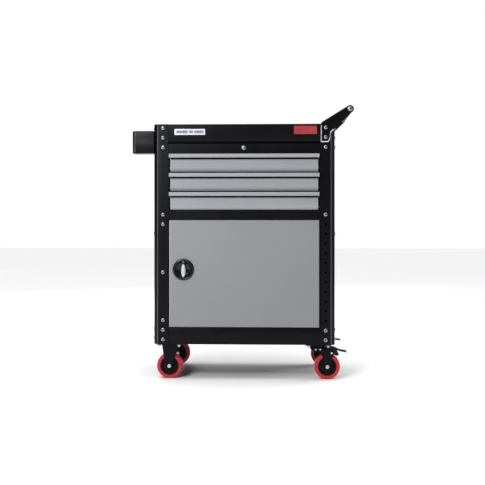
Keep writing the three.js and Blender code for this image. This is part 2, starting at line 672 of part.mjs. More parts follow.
// The fixed half of a swivel castor: its plate, upper race and kingpin.
function swivelPlateGeometry() {
  const kingpin = turnedZ([[0, -2], [6, -2], [6, -21], [9.5, -21], [9.5, -27], [0, -27]], 12);
  const race = turnedZ([[0, -2], [28, -2], [28, RACE_BOTTOM], [0, RACE_BOTTOM]], 24);
  return join(castorPlateGeometry(), race, kingpin);
}

function swivelForkGeometry() {
  const [hole, raceTop, raceFoot] = [KINGPIN_HOLE_RADIUS, RACE_BOTTOM - 0.5, CROWN_TOP - 1];
  const lowerRace = turnedZ([[hole, raceTop], [31, raceTop], [31, raceFoot], [hole, raceFoot]], 24);
  const crown = cut(
    box(-30, 48, -LEG_OUTER, LEG_OUTER, CROWN_BOTTOM, CROWN_TOP),
    barZ(0, 0, hole, CROWN_BOTTOM - 1, CROWN_TOP + 1, 24),
  );
  const leg = [
    ...arc(TRAIL, -AXLE_DROP, LEG_END_RADIUS, -170, -10, 6),
    [58.5, -44], [59, -27], [50, CROWN_TOP], [-30, CROWN_TOP], [-26, -23], [8, -33], [17, -46],
  ];
  return cut(
    join(lowerRace, crown, ...forkLegs(leg)),
    barY(TRAIL, -AXLE_DROP, AXLE_HOLE_RADIUS, -LEG_OUTER - 1, LEG_OUTER + 1),
    barY(BRAKE_PIVOT_X, BRAKE_PIVOT_Z, PIVOT_HOLE_RADIUS, -LEG_OUTER - 1, LEG_OUTER + 1),
  );
}

// The pedal, its pivot pin and the shoe that it presses on the tread.
function brakePedalGeometry() {
  const tread = [
    [66, -19.5], [81, -26.5], [95, -30], [104, -30.5], [111, -33], [112.5, -30], [106, -27],
    [96, -26.5], [82, -22.5], [62, -13], [57, -13.5], [50, -21],
  ];
  const arm = [
    [48, -37.5], [56, -39.5], [62, -41], [71.6, -46.4], [80, -45], [81, -38], [74, -24],
    [66, -19.5], [50, -21],
  ];
  const shoe = [[56, -39.5], [62, -41], [71.6, -46.4], [73.5, -40], [62, -31]];
  return join(
    prismY(tread, -18, 18),
    prismY(arm, -14, 14),
    prismY(shoe, -15.5, 15.5),
    barY(BRAKE_PIVOT_X, BRAKE_PIVOT_Z, PIVOT_RADIUS, -LEG_OUTER - 2, LEG_OUTER + 2),
  );
}

function addSwivelCastor(body, name, y) {
  const castor = new THREE.Group();
  castor.position.set(SWIVEL_X, y, 0);
  body.add(castor);
  addPart(castor, `${name}_plate`, swivelPlateGeometry(), blackPaint);
  addPart(castor, `${name}_fork`, swivelForkGeometry(), blackPaint);
  addPart(castor, `${name}_axle`, axleGeometry(TRAIL), zinc);
  addPart(castor, `${name}_brake_pedal`, brakePedalGeometry(), zinc);
  addWheel(castor, name, TRAIL);
}

function addCastors(body) {
  for (const [y, end] of [[-CASTOR_Y, "front"], [CASTOR_Y, "rear"]]) {
    addRigidCastor(body, `rigid_${end}`, y);
    addSwivelCastor(body, `swivel_${end}`, y);
  }
}

// ---------------------------------------------------------------- assembly

const chest = new THREE.Group();
const body = new THREE.Group(); // its origin is at the middle of the underside of the lower tray
body.position.z = CASTOR_HEIGHT;
chest.add(body);
addFrame(body);
addDrawerCase(body);
addDrawers(body);
addCentralLock(body);
addDoor(body);
addHandle(body);
addBin(body);
addCastors(body);

// The part's origin is on the floor below the middle of the whole chest, handle and bin included.
const extent = new THREE.Box3().setFromObject(chest);
body.position.x = -(extent.min.x + extent.max.x) / 2;
body.position.y = -(extent.min.y + extent.max.y) / 2;

export default chest;
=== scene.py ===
import json
from math import cos, pi, radians, sin

import bmesh
import bpy
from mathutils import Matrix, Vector


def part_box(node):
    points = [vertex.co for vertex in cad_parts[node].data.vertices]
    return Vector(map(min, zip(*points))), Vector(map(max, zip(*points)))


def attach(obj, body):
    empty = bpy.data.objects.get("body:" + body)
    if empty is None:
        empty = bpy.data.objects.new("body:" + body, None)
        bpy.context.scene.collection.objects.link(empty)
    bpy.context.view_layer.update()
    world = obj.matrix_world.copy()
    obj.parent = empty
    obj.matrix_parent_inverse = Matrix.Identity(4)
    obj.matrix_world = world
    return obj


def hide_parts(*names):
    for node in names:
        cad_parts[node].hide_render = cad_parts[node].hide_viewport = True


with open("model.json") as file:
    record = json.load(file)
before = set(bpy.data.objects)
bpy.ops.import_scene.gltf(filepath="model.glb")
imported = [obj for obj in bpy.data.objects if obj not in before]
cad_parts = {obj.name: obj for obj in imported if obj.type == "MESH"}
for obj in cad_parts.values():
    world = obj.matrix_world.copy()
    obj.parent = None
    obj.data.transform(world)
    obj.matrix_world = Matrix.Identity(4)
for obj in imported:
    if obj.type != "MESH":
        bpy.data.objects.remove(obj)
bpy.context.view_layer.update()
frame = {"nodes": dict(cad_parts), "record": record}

# Looks of the rolling tool chest. Shapes are built in millimetres in the chest's own frame: +X to the right
# of someone facing the drawers, +Y to the back, +Z up, from the middle of the underside of the lower tray.

NODES = frame["nodes"]
BODIES = frame["record"]["behaviour"]["bodies"]
BODY_OF = {node: body for body, members in BODIES.items() for node in members}
MM = 0.001

low, high = (Vector(corner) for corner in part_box("bottom_tray"))
ORIGIN = Vector(((low.x + high.x) / 2, (low.y + high.y) / 2, low.z))


def span(node):
    """Lowest and highest corner of a CAD node, in the chest's frame in millimetres."""
    return tuple((Vector(corner) - ORIGIN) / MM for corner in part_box(node))


POST_LOW, POST_HIGH = span("post_front_right")
TRAY_LOW, TRAY_HIGH = span("top_tray")
DOOR_LOW, DOOR_HIGH = span("door_panel")
DISH_LOW, DISH_HIGH = span("latch_dish")
TUBE_LOW, TUBE_HIGH = span("handle_tube")
BIN_LOW, BIN_HIGH = span("side_bin")

HALF_X = POST_HIGH.x
HALF_Y = -POST_LOW.y
HEIGHT = POST_HIGH.z
FLANGE = POST_HIGH.x - POST_LOW.x
SHEET = 2.0
BEVEL = 15.0
HOLE_PITCH = 37.5
HOLE_COUNT = 23
TOP_MARGIN = 15.5
HOLE_INSET = 36.0
HOLE_RADIUS = 4.5
FLOOR_Z = -ORIGIN.z / MM
WHEEL_RADIUS = 50.0
PIVOT = (DOOR_HIGH.x - 8.0, DOOR_LOW.y + 8.0)
CUT_SHRINK = 0.586  # how much a 45 degree corner cut shortens as its outline moves in by one
TAN_HALF_CUT = 0.41421  # tan(22.5 degrees), for a bend that is tangent to such a cut

# ---------------------------------------------------------------- shapes

FROM_UVW = {
    "X": lambda u, v, w: Vector((w, u, v)),
    "Y": lambda u, v, w: Vector((u, w, v)),
    "Z": lambda u, v, w: Vector((u, v, w)),
}


def arc(u, v, radius, start, end, steps):
    """Points on an arc, with its angles in degrees."""
    angles = [radians(start + (end - start) * i / steps) for i in range(steps + 1)]
    return [(u + radius * cos(a), v + radius * sin(a)) for a in angles]


def circle(u, v, radius, sides=24):
    return arc(u, v, radius, 0, 360, sides)[:-1]


def loft(bm, rings, closed=False):
    """Quads between successive rings of points, with filled ends unless the last ring joins the first."""
    made = [[bm.verts.new(point) for point in ring] for ring in rings]
    pairs = list(zip(made, made[1:])) + ([(made[-1], made[0])] if closed else [])
    for a, b in pairs:
        for i in range(len(a)):
            j = (i + 1) % len(a)
            bm.faces.new((a[i], a[j], b[j], b[i]))
    if not closed:
        bm.faces.new(made[0][::-1])
        bm.faces.new(made[-1])


def prism(bm, outline, axis, start, end, centre=(0, 0, 0)):
    """An outline in the two other axes, swept along the named one."""
    place = FROM_UVW[axis]
    loft(bm, [[place(u, v, w) + Vector(centre) for u, v in outline] for w in (start, end)])


def box(bm, low_corner, high_corner):
    (x0, y0, z0), (x1, y1, z1) = low_corner, high_corner
    prism(bm, [(x0, y0), (x1, y0), (x1, y1), (x0, y1)], "Z", z0, z1)


def turned(bm, profile, axis, centre=(0, 0, 0), sides=48, closed=False):
    """A profile of (radius, height along the axis) points turned about the axis."""
    place = FROM_UVW[axis]
    rings = []
    for radius, height in profile:
        rings.append([place(u, v, height) + Vector(centre) for u, v in circle(0, 0, radius, sides)])
    loft(bm, rings, closed)


def shell(bm, outline, profile, axis, closed=False):
    """A folded sheet: a ring of outline(inset) at each (inset, height) of the profile."""
    place = FROM_UVW[axis]
    loft(bm, [[place(u, v, height) for u, v in outline(inset)] for inset, height in profile], closed)


def cut_rectangle(half_u, half_v, c, centre=(0, 0)):
    """A rectangle with its corners cut off."""
    corners = [
        (-half_u + c, -half_v), (half_u - c, -half_v), (half_u, -half_v + c), (half_u, half_v - c),
        (half_u - c, half_v), (-half_u + c, half_v), (-half_u, half_v - c), (-half_u, -half_v + c),
    ]
    return [(centre[0] + u, centre[1] + v) for u, v in corners]


def rounded_rectangle(half_u, half_v, radius, steps=4, centre=(0, 0)):
    points = []
    for su, sv, start in ((1, -1, -90), (1, 1, 0), (-1, 1, 90), (-1, -1, 180)):
        corner = (centre[0] + su * (half_u - radius), centre[1] + sv * (half_v - radius))
        points += arc(*corner, radius, start, start + 90, steps)
    return points


def inset_outline(points, distance):
    """A closed outline, anticlockwise, with every edge moved inwards."""
    moved = []
    for i, (u, v) in enumerate(points):
        (pu, pv), (nu, nv) = points[i - 1], points[(i + 1) % len(points)]
        before = Vector((u - pu, v - pv)).normalized()
        after = Vector((nu - u, nv - v)).normalized()
        inward = Vector((-before.y - after.y, before.x + after.x))
        step = distance * 2 / max(inward.length_squared, 0.5)
        moved.append((u + inward.x * step, v + inward.y * step))
    return moved


# ---------------------------------------------------------------- pieces


def finish_mesh(obj, material, bevel=0.0, segments=2, angle=30):
    obj.data.materials.clear()
    obj.data.materials.append(material)
    obj.data.shade_smooth()
    obj.data.set_sharp_from_angle(angle=radians(angle))
    if bevel:
        edges = obj.modifiers.new("edges", "BEVEL")
        edges.width = bevel * MM
        edges.segments = segments
        edges.limit_method = "ANGLE"
        edges.angle_limit = radians(angle)
        edges.harden_normals = True


def new_object(name, bm):
    """An object from a mesh in the chest's millimetres."""
    bmesh.ops.recalc_face_normals(bm, faces=bm.faces)
    for vertex in bm.verts:
        vertex.co = ORIGIN + vertex.co * MM
    mesh = bpy.data.meshes.new(name)
    bm.to_mesh(mesh)
    bm.free()
    obj = bpy.data.objects.new(name, mesh)
    bpy.context.scene.collection.objects.link(obj)
    return obj


def piece(name, bm, material, rides, stands_for=(), bevel=0.0, segments=2, angle=30):
    """A finished piece. rides is a body or one of its CAD nodes; stands_for is the CAD nodes it replaces."""
    obj = new_object(name, bm)
    finish_mesh(obj, material, bevel, segments, angle)
    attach(obj, BODY_OF.get(rides, rides))
    if stands_for:
        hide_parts(*stands_for)
    return obj


def visual(node, bm, material, **options):
    """A finer piece in place of one CAD node."""
    return piece(f"{node}_visual", bm, material, node, (node,), **options)


def cut_with(obj, cutter_bm):
    """Takes the cutters away from obj and keeps the result as its mesh."""
    cutter = new_object("cutter", cutter_bm)
    carve = obj.modifiers.new("carve", "BOOLEAN")
    carve.object = cutter
    carve.operation = "DIFFERENCE"
    carve.solver = "EXACT"
    bpy.context.view_layer.update()
    evaluated = obj.evaluated_get(bpy.context.evaluated_depsgraph_get())
    carved = bpy.data.meshes.new_from_object(evaluated)
    obj.modifiers.clear()
    old, obj.data = obj.data, carved
    bpy.data.meshes.remove(old)
    bpy.data.objects.remove(cutter)


def keep(node, material, bevel=0.3):
    """A CAD node that stays, with a finish and softened edges."""
    obj = NODES[node]
    for slot in obj.material_slots:
        slot.material = material
    if not obj.material_slots:
        obj.data.materials.append(material)
    weld = obj.modifiers.new("weld", "WELD")
    weld.merge_threshold = 1e-5
    edges = obj.modifiers.new("edges", "BEVEL")
    edges.width = bevel * MM
    edges.segments = 2
    edges.limit_method = "ANGLE"
    edges.angle_limit = radians(35)


# ---------------------------------------------------------------- materials


class Surface:
    """A Principled material with nodes that read the object's own coordinates."""

    def __init__(self, name, **socket_shades):
        self.material = bpy.data.materials.new(name)
        self.material.use_nodes = True
        self.tree = self.material.node_tree
        self.shader = self.tree.nodes["Principled BSDF"]
        for socket, value in socket_shades.items():
            self.shader.inputs[socket.replace("_", " ")].default_value = value
        self.place = self.node("ShaderNodeTexCoord").outputs["Object"]

    def node(self, kind, **settings):
        made = self.tree.nodes.new(kind)
        for key, value in settings.items():
            setattr(made, key, value)
        return made

    def link(self, source, target):
        self.tree.links.new(source, target)

    def stretched(self, scale):
        mapping = self.node("ShaderNodeMapping")
        mapping.inputs["Scale"].default_value = scale
        self.link(self.place, mapping.inputs["Vector"])
        return mapping.outputs["Vector"]

    def noise(self, scale, detail=3.0, roughness=0.5, stretch=None):
        made = self.node("ShaderNodeTexNoise")
        made.inputs["Scale"].default_value = scale
        made.inputs["Detail"].default_value = detail
        made.inputs["Roughness"].default_value = roughness
        self.link(self.stretched(stretch) if stretch else self.place, made.inputs["Vector"])
        return made.outputs["Fac"]

    def ramp(self, source, low_stop, high_stop, low_value, high_value):
        """A colour or grey from low_value to high_value as source goes from low_stop to high_stop."""
        made = self.node("ShaderNodeValToRGB")
        stops = ((low_stop, low_value), (high_stop, high_value))
        for element, (position, value) in zip(made.color_ramp.elements, stops):
            element.position = position
            element.color = (*value, 1) if isinstance(value, tuple) else (value, value, value, 1)
        self.link(source, made.inputs["Fac"])
        return made.outputs["Color"]

    def mix(self, factor, first, second, blend="MIX"):
        made = self.node("ShaderNodeMix", data_type="RGBA", blend_type=blend)
        inputs = ((made.inputs["Factor"], factor), (made.inputs[6], first), (made.inputs[7], second))
        for socket, value in inputs:
            if isinstance(value, bpy.types.NodeSocket):
                self.link(value, socket)
            elif isinstance(value, tuple):
                socket.default_value = (*value, 1)
            else:
                socket.default_value = value
        return made.outputs[2]

    def bump(self, height, strength, distance=0.001):
        made = self.node("ShaderNodeBump")
        made.inputs["Strength"].default_value = strength
        made.inputs["Distance"].default_value = distance
        previous = self.shader.inputs["Normal"]
        if previous.is_linked:
            self.link(previous.links[0].from_socket, made.inputs["Normal"])
        self.link(height, made.inputs["Height"])
        self.link(made.outputs["Normal"], previous)

    def colour(self, source):
        self.link(source, self.shader.inputs["Base Color"])

    def roughness(self, source):
        self.link(source, self.shader.inputs["Roughness"])


def tint(colour, factor):
    return tuple(channel * factor for channel in colour)


def powder_coat(name, colour, rough, specular):
    """Powder-coated steel: fine orange peel, faint cloudiness and a few handling smears."""
    s = Surface(name, Specular_IOR_Level=specular)
    cloud = s.noise(4.0, 2.0)
    fleck = s.noise(900.0, 2.0)
    base = s.mix(cloud, tint(colour, 0.93), tint(colour, 1.07))
    s.colour(s.mix(s.ramp(fleck, 0.55, 0.8, 0.0, 0.25), base, tint(colour, 1.5)))
    smear = s.noise(9.0, 5.0, 0.65, (1.0, 1.0, 0.35))
    s.roughness(s.ramp(smear, 0.3, 0.75, rough - 0.05, rough + 0.09))
    s.bump(s.noise(420.0, 2.0), 0.12, 0.0004)
    s.bump(s.noise(6.0, 1.0), 0.05, 0.002)
    return s.material


def plated_steel(name, colour, rough, grain=(1.0, 1.0, 1.0)):
    """Bright zinc or bare steel with mottling and fine drawn lines."""
    s = Surface(name, Metallic=1.0)
    mottle = s.noise(120.0, 4.0, 0.6)
    s.colour(s.ramp(mottle, 0.3, 0.75, tint(colour, 0.82), tint(colour, 1.1)))
    lines = s.noise(300.0, 3.0, 0.6, grain)
    s.roughness(s.ramp(lines, 0.3, 0.7, rough - 0.07, rough + 0.1))
    s.bump(lines, 0.08, 0.0003)
    return s.material


def satin_metal(name, colour, rough):
    """Satin plating, hazy with handling."""
    s = Surface(name, Metallic=0.3, Specular_IOR_Level=0.5)
    s.colour(s.ramp(s.noise(30.0, 3.0), 0.2, 0.8, tint(colour, 0.9), colour))
    s.roughness(s.ramp(s.noise(60.0, 5.0, 0.7), 0.35, 0.75, rough, rough + 0.12))
    s.bump(s.noise(400.0, 2.0, 0.5, (1.0, 1.0, 0.1)), 0.03, 0.0003)
    return s.material


def gloss_plastic(name, colour, rough):
    s = Surface(name, Specular_IOR_Level=0.25, Coat_Weight=0.12, Coat_Roughness=0.06)
    s.colour(s.ramp(s.noise(40.0, 3.0), 0.3, 0.7, tint(colour, 0.9), tint(colour, 1.3)))
    s.roughness(s.ramp(s.noise(80.0, 5.0, 0.7), 0.4, 0.75, rough, rough + 0.15))
    s.bump(s.noise(350.0, 2.0), 0.03, 0.0003)
    return s.material


def moulded_plastic(name, colour, rough):
    s = Surface(name, Specular_IOR_Level=0.14)
    s.colour(s.ramp(s.noise(70.0, 4.0), 0.3, 0.75, tint(colour, 0.85), tint(colour, 1.35)))
    s.roughness(s.ramp(s.noise(150.0, 4.0), 0.3, 0.7, rough - 0.08, rough + 0.1))
    s.bump(s.noise(1100.0, 2.0), 0.15, 0.0003)
    return s.material


def polyurethane(name, colour, rough):
    """Cast tread: glossy where it is clean, dull and dusty in patches."""
    s = Surface(name, Specular_IOR_Level=0.4)
    dust = s.ramp(s.noise(45.0, 6.0, 0.65), 0.5, 0.8, 0.0, 0.35)
    tone = s.mix(s.noise(14.0, 2.0), tint(colour, 0.88), tint(colour, 1.1))
    s.colour(s.mix(dust, tone, (0.3, 0.07, 0.065)))
    s.roughness(s.ramp(s.noise(45.0, 6.0, 0.65), 0.4, 0.8, rough, rough + 0.3))
    s.bump(s.noise(500.0, 3.0), 0.08, 0.0004)
    return s.material


BLACK = powder_coat("black_powder_coat", (0.0035, 0.0034, 0.0046), 0.32, 0.1)
# A lighter black for the outside of the bends of the posts and the bin: a painted highlight.
BEND_HIGHLIGHT = powder_coat("painted_bend_highlight", (0.1, 0.1, 0.105), 0.3, 0.5)
GREY = powder_coat("grey_powder_coat", (0.3, 0.304, 0.32), 0.46, 0.3)
# A lighter grey for the door's left roll: a painted highlight where the key light catches it.
DOOR_ROLL_HIGHLIGHT = powder_coat("painted_door_roll_highlight", (0.52, 0.53, 0.55), 0.3, 0.2)
# The door's grey is darker than the drawers' grey: painted shade for the light falling off lower down the
# chest.
SHADED_DOOR_GREY = powder_coat("door_powder_coat_painted_shade", (0.236, 0.237, 0.246), 0.48, 0.3)
ZINC = plated_steel("bright_zinc", (0.62, 0.63, 0.66), 0.3)
# Bright bare steel for the chamfer round the handle plates' foot: a painted highlight.
FOOT_EDGE_HIGHLIGHT = plated_steel("foot_edge_painted_highlight", (0.72, 0.72, 0.74), 0.35, (1.0, 1.0, 0.1))
SLIDE_ZINC = plated_steel("rolled_zinc", (0.5, 0.52, 0.54), 0.32, (1.0, 0.03, 1.0))
GRIP_SILVER = satin_metal("grip_silver", (0.6, 0.6, 0.61), 0.34)
BLACK_GLOSS = gloss_plastic("black_gloss", (0.006, 0.006, 0.007), 0.1)
NYLON = moulded_plastic("black_nylon", (0.007, 0.0075, 0.008), 0.45)
TREAD_RED = polyurethane("red_polyurethane", (0.5, 0.012, 0.02), 0.3)
LABEL_SILVER = plated_steel("label_silver", (0.5, 0.52, 0.56), 0.45, (0.05, 1.0, 1.0))
LABEL_RED = gloss_plastic("label_red", (0.31, 0.035, 0.042), 0.3)
LABEL_BARS = moulded_plastic("label_bars", (0.2, 0.205, 0.22), 0.5)
PEDAL_MAROON = moulded_plastic("pedal_maroon", (0.022, 0.006, 0.008), 0.38)
BOLT_STEEL = plated_steel("bolt_steel", (0.34, 0.35, 0.37), 0.34)
DARK_STEEL = plated_steel("dark_steel", (0.12, 0.12, 0.13), 0.35)

# ---------------------------------------------------------------- bolts


def button_head(bm, u, v, face, axis, out, radius=7.7, height=4.6):
    """A domed socket screw on a face. out is +1 or -1 along the axis."""
    centre = FROM_UVW[axis](u, v, face)
    dome = [(radius * cos(radians(t)), 0.8 + (height - 0.8) * sin(radians(t))) for t in (0, 15, 30, 45, 58)]
    turned(bm, [(radius, out * 0.0)] + [(r, out * h) for r, h in dome], axis, centre, 24)


def socket_shade_hexagon(bm, u, v, face, axis, out, height=4.6):
    """A black hexagon on top of a button head: painted shade for its hex recess."""
    place = FROM_UVW[axis]
    centre = place(u, v, face)
    hexagon = circle(0, 0, 2.9, 6)
    depths = (height - 1.2, height - 0.3)
    loft(bm, [[place(a, b, out * h) + centre for a, b in hexagon] for h in depths])


def hex_head(bm, u, v, face, axis, out, radius=6.5, height=4.0):
    place = FROM_UVW[axis]
    washer = [(radius * 1.45, 0), (radius * 1.45, 1.1), (radius * 1.2, 1.2)]
    centre = place(u, v, face)
    turned(bm, [(r, out * h) for r, h in washer], axis, centre, 24)
    rings = []
    for r, h in ((radius, 1.0), (radius, height), (radius * 0.86, height + 0.7)):
        rings.append([place(a, b, out * h) + centre for a, b in circle(0, 0, r, 6)])
    loft(bm, rings)


def hole_z(row):
    """Height of a post's hole, counted from the top."""
    return HEIGHT - TOP_MARGIN - row * HOLE_PITCH


# ---------------------------------------------------------------- frame


def post_outline(sx, sy):
    """The angle's section: two flanges and the bevel between them, with rolled bends."""
    x, y = HALF_X, HALF_Y

    def bent(inset, radius):
        """The outside line, moved in by inset, as a row of points with both bends rounded."""
        c = BEVEL - inset * (2 - 2 ** 0.5)
        ux, uy = x - inset, y - inset
        tangent = radius * TAN_HALF_CUT
        first = (ux - c - tangent, uy - radius)
        second = (ux - radius, uy - c - tangent)
        return arc(*first, radius, 90, 45, 4) + arc(*second, radius, 45, 0, 4)

    outer = [(x - FLANGE, y)] + bent(0, 5.0) + [(x, y - FLANGE)]
    inner = [(x - SHEET, y - FLANGE)] + bent(SHEET, 3.0)[::-1] + [(x - FLANGE, y - SHEET)]
    return [(sx * u, sy * v) for u, v in outer + inner]


def paint_bend_highlights(obj, sy):
    """Paints a highlight on the outside of the bend beside a face that looks along sy: lighter faces that
    stand in for the light the bend catches.
    """
    obj.data.materials.append(BEND_HIGHLIGHT)
    for polygon in obj.data.polygons:
        if 0.75 < sy * polygon.normal.y < 0.995 and abs(polygon.normal.z) < 0.1:
            polygon.material_index = 1


def add_posts():
    for sx, side in ((-1, "left"), (1, "right")):
        for sy, end in ((-1, "front"), (1, "rear")):
            bm = bmesh.new()
            prism(bm, post_outline(sx, sy), "Z", 0, HEIGHT)
            post = visual(f"post_{end}_{side}", bm, BLACK)
            drills = bmesh.new()
            for row in range(HOLE_COUNT):
                z = hole_z(row)
                ends = sorted((sy * (HALF_Y - 2 * SHEET), sy * (HALF_Y + SHEET)))
                prism(drills, circle(sx * (HALF_X - HOLE_INSET), z, HOLE_RADIUS, 16), "Y", *ends)
                ends = sorted((sx * (HALF_X - 2 * SHEET), sx * (HALF_X + SHEET)))
                prism(drills, circle(sy * (HALF_Y - HOLE_INSET), z, HOLE_RADIUS, 16), "X", *ends)
            cut_with(post, drills)
            finish_mesh(post, BLACK, 0.35)
            # The bends get a painted highlight.
            paint_bend_highlights(post, sy)


FRONT_BOLT_ROWS = {"left": (0, 1, 2, 9, 10, 15, 20, 21, 22), "right": (0, 1, 2, 9, 21, 22)}
SIDE_BOLT_ROWS = (0, 1, 2, 11, 21, 22)
HANDLE_ROWS = (0, 1)
BIN_ROWS = (1, 2)


def screws(name, places, rides):
    """Button-head screws, each given as (u, v, face, axis, out), and black hexagons on their heads as
    painted shade for the hex recesses.
    """
    heads, socket_shades = bmesh.new(), bmesh.new()
    for place in places:
        button_head(heads, *place)
        socket_shade_hexagon(socket_shades, *place)
    piece(name, heads, BOLT_STEEL, rides, angle=45)
    piece(f"{name}_sockets", socket_shades, NYLON, rides)


def add_post_bolts():
    for sx, side in ((-1, "left"), (1, "right")):
        for sy, end in ((-1, "front"), (1, "rear")):
            places = []
            for row in FRONT_BOLT_ROWS[side]:
                on_handle = side == "right" and row in HANDLE_ROWS
                face = sy * (HANDLE_FACE if on_handle else HALF_Y)
                places.append((sx * (HALF_X - HOLE_INSET), hole_z(row), face, "Y", sy))
            for row in SIDE_BOLT_ROWS:
                behind_bin = side == "left" and end == "front" and row in BIN_ROWS
                if not behind_bin:
                    places.append((sy * (HALF_Y - HOLE_INSET), hole_z(row), sx * HALF_X, "X", sx))
            screws(f"post_bolts_{end}_{side}", places, f"post_{end}_{side}")


def add_trays():
    """Folded trays with rolled edges, cut-off corners and a rim turned inwards."""
    half_x, half_y = TRAY_HIGH.x, TRAY_HIGH.y
    height = TRAY_HIGH.z - TRAY_LOW.z
    for node in ("top_tray", "bottom_tray"):
        z = span(node)[0].z

        def outline(inset):
            return cut_rectangle(half_x - inset, half_y - inset, BEVEL - CUT_SHRINK * inset)

        foot = [(2.5 - 2.5 * cos(a), z + 2.5 - 2.5 * sin(a)) for a in (pi / 2, pi / 4, 0)]
        rim = [(2.5 - 2.5 * cos(a), z + height - 2.5 + 2.5 * sin(a)) for a in (0, pi / 4, pi / 2)]
        fold = [(12, z + height), (12, z + height - 1.5), (2.5, z + height - 1.5), (1.5, z + height - 2.5)]
        floor = [(1.5, z + 2.5), (2.5, z + 1.5)]
        bm = bmesh.new()
        shell(bm, outline, foot + rim + fold + floor, "Z")
        visual(node, bm, BLACK)
    bm = bmesh.new()
    turned(bm, [(3.0, 64), (3.0, 75), (2.2, 76)], "Z", (*PIVOT, 0), 20)
    piece("door_pin_lower", bm, ZINC, "bottom_tray")


def add_panels():
    for node in ("wrap_panel", "case_face", "door_stop"):
        keep(node, BLACK, 0.25)


# ---------------------------------------------------------------- handle and bin

HANDLE_FACE = -span("handle_plate_front")[0].y


def handle_outline():
    """The cranked plate, with smooth inner and outer bends."""
    x, z = (TUBE_LOW.x + TUBE_HIGH.x) / 2, (TUBE_LOW.z + TUBE_HIGH.z) / 2
    left, foot = 297.9, 788.0
    inner_bend = [
        (326.6, foot + 0.4), (328.6, 789.6), (331.2, 794.0), (334.0, 800.5), (335.8, 806.5),
        (336.4, 813), (336.8, 820.5), (338.2, 826.0), (341.6, 830.6), (348.6, 835.8),
    ]
    foot_corner = arc(left + 2.5, foot + 2.5, 2.5, 180, 270, 3)
    end = arc(x, z, 14.4, -45, 122, 18)
    outer_bend = arc(left + 18, 853.7, 18, 122, 180, 8)
    return foot_corner + inner_bend + end + outer_bend


def add_handle():
    """Two plates with a broad edge chamfer: bright bare steel round the foot, as a painted highlight on that
    edge, and black paint along the arm.
    """
    for node, out in (("handle_plate_front", -1), ("handle_plate_rear", 1)):
        plate_low, plate_high = span(node)
        back, front = (plate_high.y, plate_low.y) if out < 0 else (plate_low.y, plate_high.y)
        outline = handle_outline()
        rings = [(outline, back), (outline, front - out * 2.2), (inset_outline(outline, 3.6), front)]
        bm = bmesh.new()
        loft(bm, [[Vector((u, y, v)) for u, v in points] for points, y in rings])
        plate = visual(node, bm, BLACK)
        plate.data.materials.append(FOOT_EDGE_HIGHLIGHT)
        for face in plate.data.polygons:
            across, up = (face.center.x - ORIGIN.x) / MM, (face.center.z - ORIGIN.z) / MM
            on_foot = up < (853 if across < 312 else 838)
            face.material_index = 1 if on_foot and abs(face.normal.y) < 0.95 else 0
    x, z = (TUBE_LOW.x + TUBE_HIGH.x) / 2, (TUBE_LOW.z + TUBE_HIGH.z) / 2
    y0, y1 = TUBE_LOW.y, TUBE_HIGH.y
    bm = bmesh.new()
    front_end = [(11.0, y0), (12.0, y0 + 0.2), (12.5, y0 + 0.8)]
    rear_end = [(12.5, y1 - 0.8), (12.0, y1 - 0.2), (11.0, y1)]
    turned(bm, front_end + rear_end, "Y", (x, 0, z), 48)
    visual("handle_tube", bm, BLACK)
    bm = bmesh.new()
    for out in (-1, 1):
        face = out * HANDLE_FACE
        washer = [(9.6, face), (9.6, face + out * 1.2), (8.8, face + out * 1.6)]
        turned(bm, washer, "Y", (x, 0, z), 32)
    piece("handle_tube_washers", bm, BOLT_STEEL, "handle_tube")
    places = [(x, z, out * (HANDLE_FACE + 1.6), "Y", out) for out in (-1, 1)]
    screws("handle_tube_bolts", places, "handle_tube")


def add_bin():
    """A folded bin with a hemmed rim and cut-off outer corners."""
    x0, x1, z0, z1 = BIN_LOW.x, BIN_HIGH.x, BIN_LOW.z, BIN_HIGH.z
    y, half_y = (BIN_LOW.y + BIN_HIGH.y) / 2, (BIN_HIGH.y - BIN_LOW.y) / 2

    def outline(inset):
        c, r = 10 - CUT_SHRINK * inset, 3.0
        u0, u1, v = x0 + inset, x1 - inset, half_y - inset
        t = TAN_HALF_CUT * r
        rear = arc(u0 + c + t, v - r, r, 90, 135, 3) + arc(u0 + r, v - c - t, r, 135, 180, 3)
        front = arc(u0 + r, -v + c + t, r, 180, 225, 3) + arc(u0 + c + t, -v + r, r, 225, 270, 3)
        return [(a, y + b) for a, b in [(u1, -v), (u1, v)] + rear + front]

    foot = [(3 - 3 * cos(a), z0 + 3 - 3 * sin(a)) for a in (pi / 2, pi / 4, 0)]
    hem = [(1.5 - 1.5 * cos(a), z1 - 1.5 + 1.5 * sin(a)) for a in (0, pi / 4, pi / 2, 3 * pi / 4, pi)]
    inside = [(3, z1 - 9), (1.4, z1 - 10), (1.4, z0 + 3), (3, z0 + 1.4)]
    bm = bmesh.new()
    shell(bm, outline, foot + hem + inside, "Z")
    # Its front bends get a painted highlight.
    paint_bend_highlights(visual("side_bin", bm, BLACK), -1)
    screws("side_bin_bolts", [(y, hole_z(row), x1 - 1.4, "X", -1) for row in BIN_ROWS], "side_bin")


# ---------------------------------------------------------------- drawer case and drawers

PULL_HALF = 292.0
FACE_HALF = 288.0


def add_case():
    keep("drawer_case", BLACK, 0.4)


